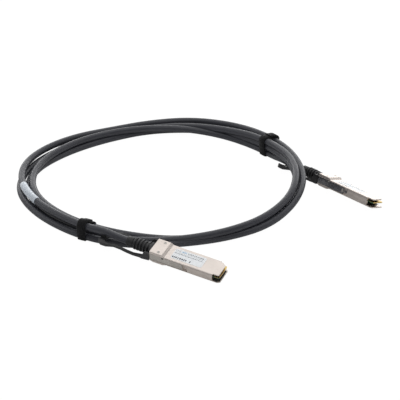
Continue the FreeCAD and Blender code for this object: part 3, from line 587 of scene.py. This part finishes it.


# painted glow: the label film gives off a faint blue-white light of its own, though it is no lamp
glow = next(n for n in M["film"].node_tree.nodes if n.type == "BSDF_PRINCIPLED")
glow.inputs["Emission Color"].default_value = (0.90, 0.95, 1.0, 1.0)
glow.inputs["Emission Strength"].default_value = 0.11
lip_painted_shade("near", NEAR, 0.0654, 0.0677)
lip_painted_shade("far", FAR, 0.0636, 0.0)
def side_window(pre, place, cx, cz, body_latch):
    """Dark round seat in the side wall in front of the slider, painted shade for the window's recess, and the slider's
    bent end in the lighter latch steel, a painted highlight.
    """
    bm = bmesh.new()
    tip = bmesh.new()
    for sgn in (1, -1):
        rings = []
        for r, y in ((0.00136, 0.00900), (0.00136, 0.00928), (0.00116, 0.00932)):
            rings.append([place @ Vector((cx + r * math.cos(2 * math.pi * k / 28), sgn * y, cz + 1.15 * r * math.sin(2 * math.pi * k / 28))) for k in range(28)])
        loft(bm, rings)
        y0, y1 = sorted((sgn * 0.00900, sgn * 0.00928))
        box_into(tip, (0.0302, y0, cz - 0.0018), (0.0319, y1, cz + 0.0018), place)
    o = new_object(pre + "_side_window_shade", bm, "assembly")
    # painted shade: the seat disc in the darker latch copy stands for the window's shaded recess
    paint(o, M["latch_far_painted_shade"])
    o = new_object(pre + "_slider_tip_highlight", tip, body_latch, smooth=False)
    # painted highlight: the bent end in the lighter latch steel, against the shaded far slider
    paint(o, M["latch"])


side_window("far", FAR, 0.0350, -0.0001, "far_latch")
shell_trim("near", NEAR, "near_latch")
shell_trim("far", FAR, "far_latch")


def label_marks(pre, place):
    """Generic rows of plain dashes and a row of bars; no letters, names or codes."""
    z0, z1 = 0.00437, 0.004385
    bm = bmesh.new()
    pale = bmesh.new()
    rnd = random.Random(11)
    for row, (y, h, xs, xe, into) in enumerate(((4.2, 0.8, 31.6, 46.8, bm), (2.6, 0.4, 20.8, 46.6, pale), (0.9, 0.65, 20.0, 46.9, bm), (4.2, 0.75, 19.8, 25.0, pale))):
        x = xs
        while x < xe:
            w = rnd.uniform(0.5, 1.9)
            box_into(into, (x / 1000, (y - h / 2) / 1000, z0), (min(x + w, xe) / 1000, (y + h / 2) / 1000, z1), place)
            x += w + rnd.uniform(0.4, 0.75)
    x = 20.0
    while x < 38.2:
        w = rnd.choice((1.0, 1.3, 1.7))
        if not 33.6 < x < 35.4:
            box_into(bm, (x / 1000, -0.0051, z0), ((x + w) / 1000, -0.0032, z1), place)
        x += w + rnd.choice((0.6, 0.75, 0.9))
    o = new_object(pre + "_label_marks", bm, "assembly", smooth=False)
    paint(o, M["ink"])
    o = new_object(pre + "_label_fine", pale, "assembly", smooth=False)
    paint(o, M["ink_grey"])
    bm = bmesh.new()
    for k, (xs, xe) in enumerate(((25.7, 27.6), (27.9, 30.0))):
        box_into(bm, (xs / 1000, 0.0038, z0), (xe / 1000, 0.0046, z1), place)
    o = new_object(pre + "_label_band", bm, "assembly", smooth=False)
    paint(o, M["ink_pale"])


label_marks("near", NEAR)
label_marks("far", FAR)

# -------------------------------------------------------------- floor and light
def plane(name, z, half_size):
    bm = bmesh.new()
    v = [bm.verts.new(p) for p in ((-half_size, -half_size, z), (half_size, -half_size, z), (half_size, half_size, z), (-half_size, half_size, z))]
    bm.faces.new(v)
    mesh = bpy.data.meshes.new(name)
    bm.to_mesh(mesh)
    bm.free()
    o = bpy.data.objects.new(name, mesh)
    scene.collection.objects.link(o)
    return o


def floor_finish(name, colour, glow):
    fm = bpy.data.materials.new(name)
    fm.use_nodes = True
    bs = next(n for n in fm.node_tree.nodes if n.type == "BSDF_PRINCIPLED")
    bs.inputs["Base Color"].default_value = (colour, colour, colour, 1)
    bs.inputs["Roughness"].default_value = 0.9
    bs.inputs["Specular IOR Level"].default_value = 0.1
    bs.inputs["Emission Color"].default_value = (1, 1, 1, 1)
    bs.inputs["Emission Strength"].default_value = glow
    return fm


# the floor that the camera sees, and under it the sweep that lights the object from below
floor = plane("floor", -0.00004, 8.0)
floor.data.materials.append(floor_finish("floor_paper", 0.06, 0.98))
floor.visible_diffuse = False
floor.visible_glossy = False
sweep = plane("floor_sweep", -0.0002, 8.0)
sweep.data.materials.append(floor_finish("floor_sweep_paper", 0.72, 0.20))
sweep.visible_camera = False

world = bpy.data.worlds.new("studio")
scene.world = world
world.use_nodes = True
bg = next(n for n in world.node_tree.nodes if n.type == "BACKGROUND")
bg.inputs["Color"].default_value = (1.0, 1.0, 1.0, 1)
bg.inputs["Strength"].default_value = 0.20


def area(name, loc, aim, size, radiance, size_y):
    d = bpy.data.lights.new(name, "AREA")
    d.shape = "RECTANGLE"
    d.size = size
    d.size_y = size_y
    d.energy = radiance * math.pi * size * size_y
    o = bpy.data.objects.new(name, d)
    scene.collection.objects.link(o)
    o.location = loc
    o.rotation_euler = (Vector(aim) - Vector(loc)).to_track_quat("-Z", "Y").to_euler()
    return o


area("back_wall", (0.0, 2.2, 1.1), (0, 0, 0.4), 4.6, 1.05, 1.8)
area("back_low", (0.0, 2.1, 0.27), (0, 0, 0.1), 4.6, 1.95, 0.5)
area("softbox_top", (0.0, 0.35, 1.6), (0, 0, 0), 2.2, 0.92, 1.8)
area("softbox_front", (0.0, -1.25, 1.75), (0, 0, 0), 1.6, 0.95, 0.9)
area("softbox_left", (-1.9, 0.3, 0.9), (-0.1, 0, 0.1), 1.0, 1.2, 1.0)
area("softbox_right", (1.9, 0.2, 0.9), (0.1, 0, 0.1), 1.0, 1.2, 1.0)

scene.render.engine = "CYCLES"
scene.cycles.samples = 192
scene.view_settings.view_transform = "Standard"
scene.view_settings.look = "None"
scene.view_settings.exposure = 0.0
scene.view_settings.gamma = 1.0
scene.render.film_transparent = False
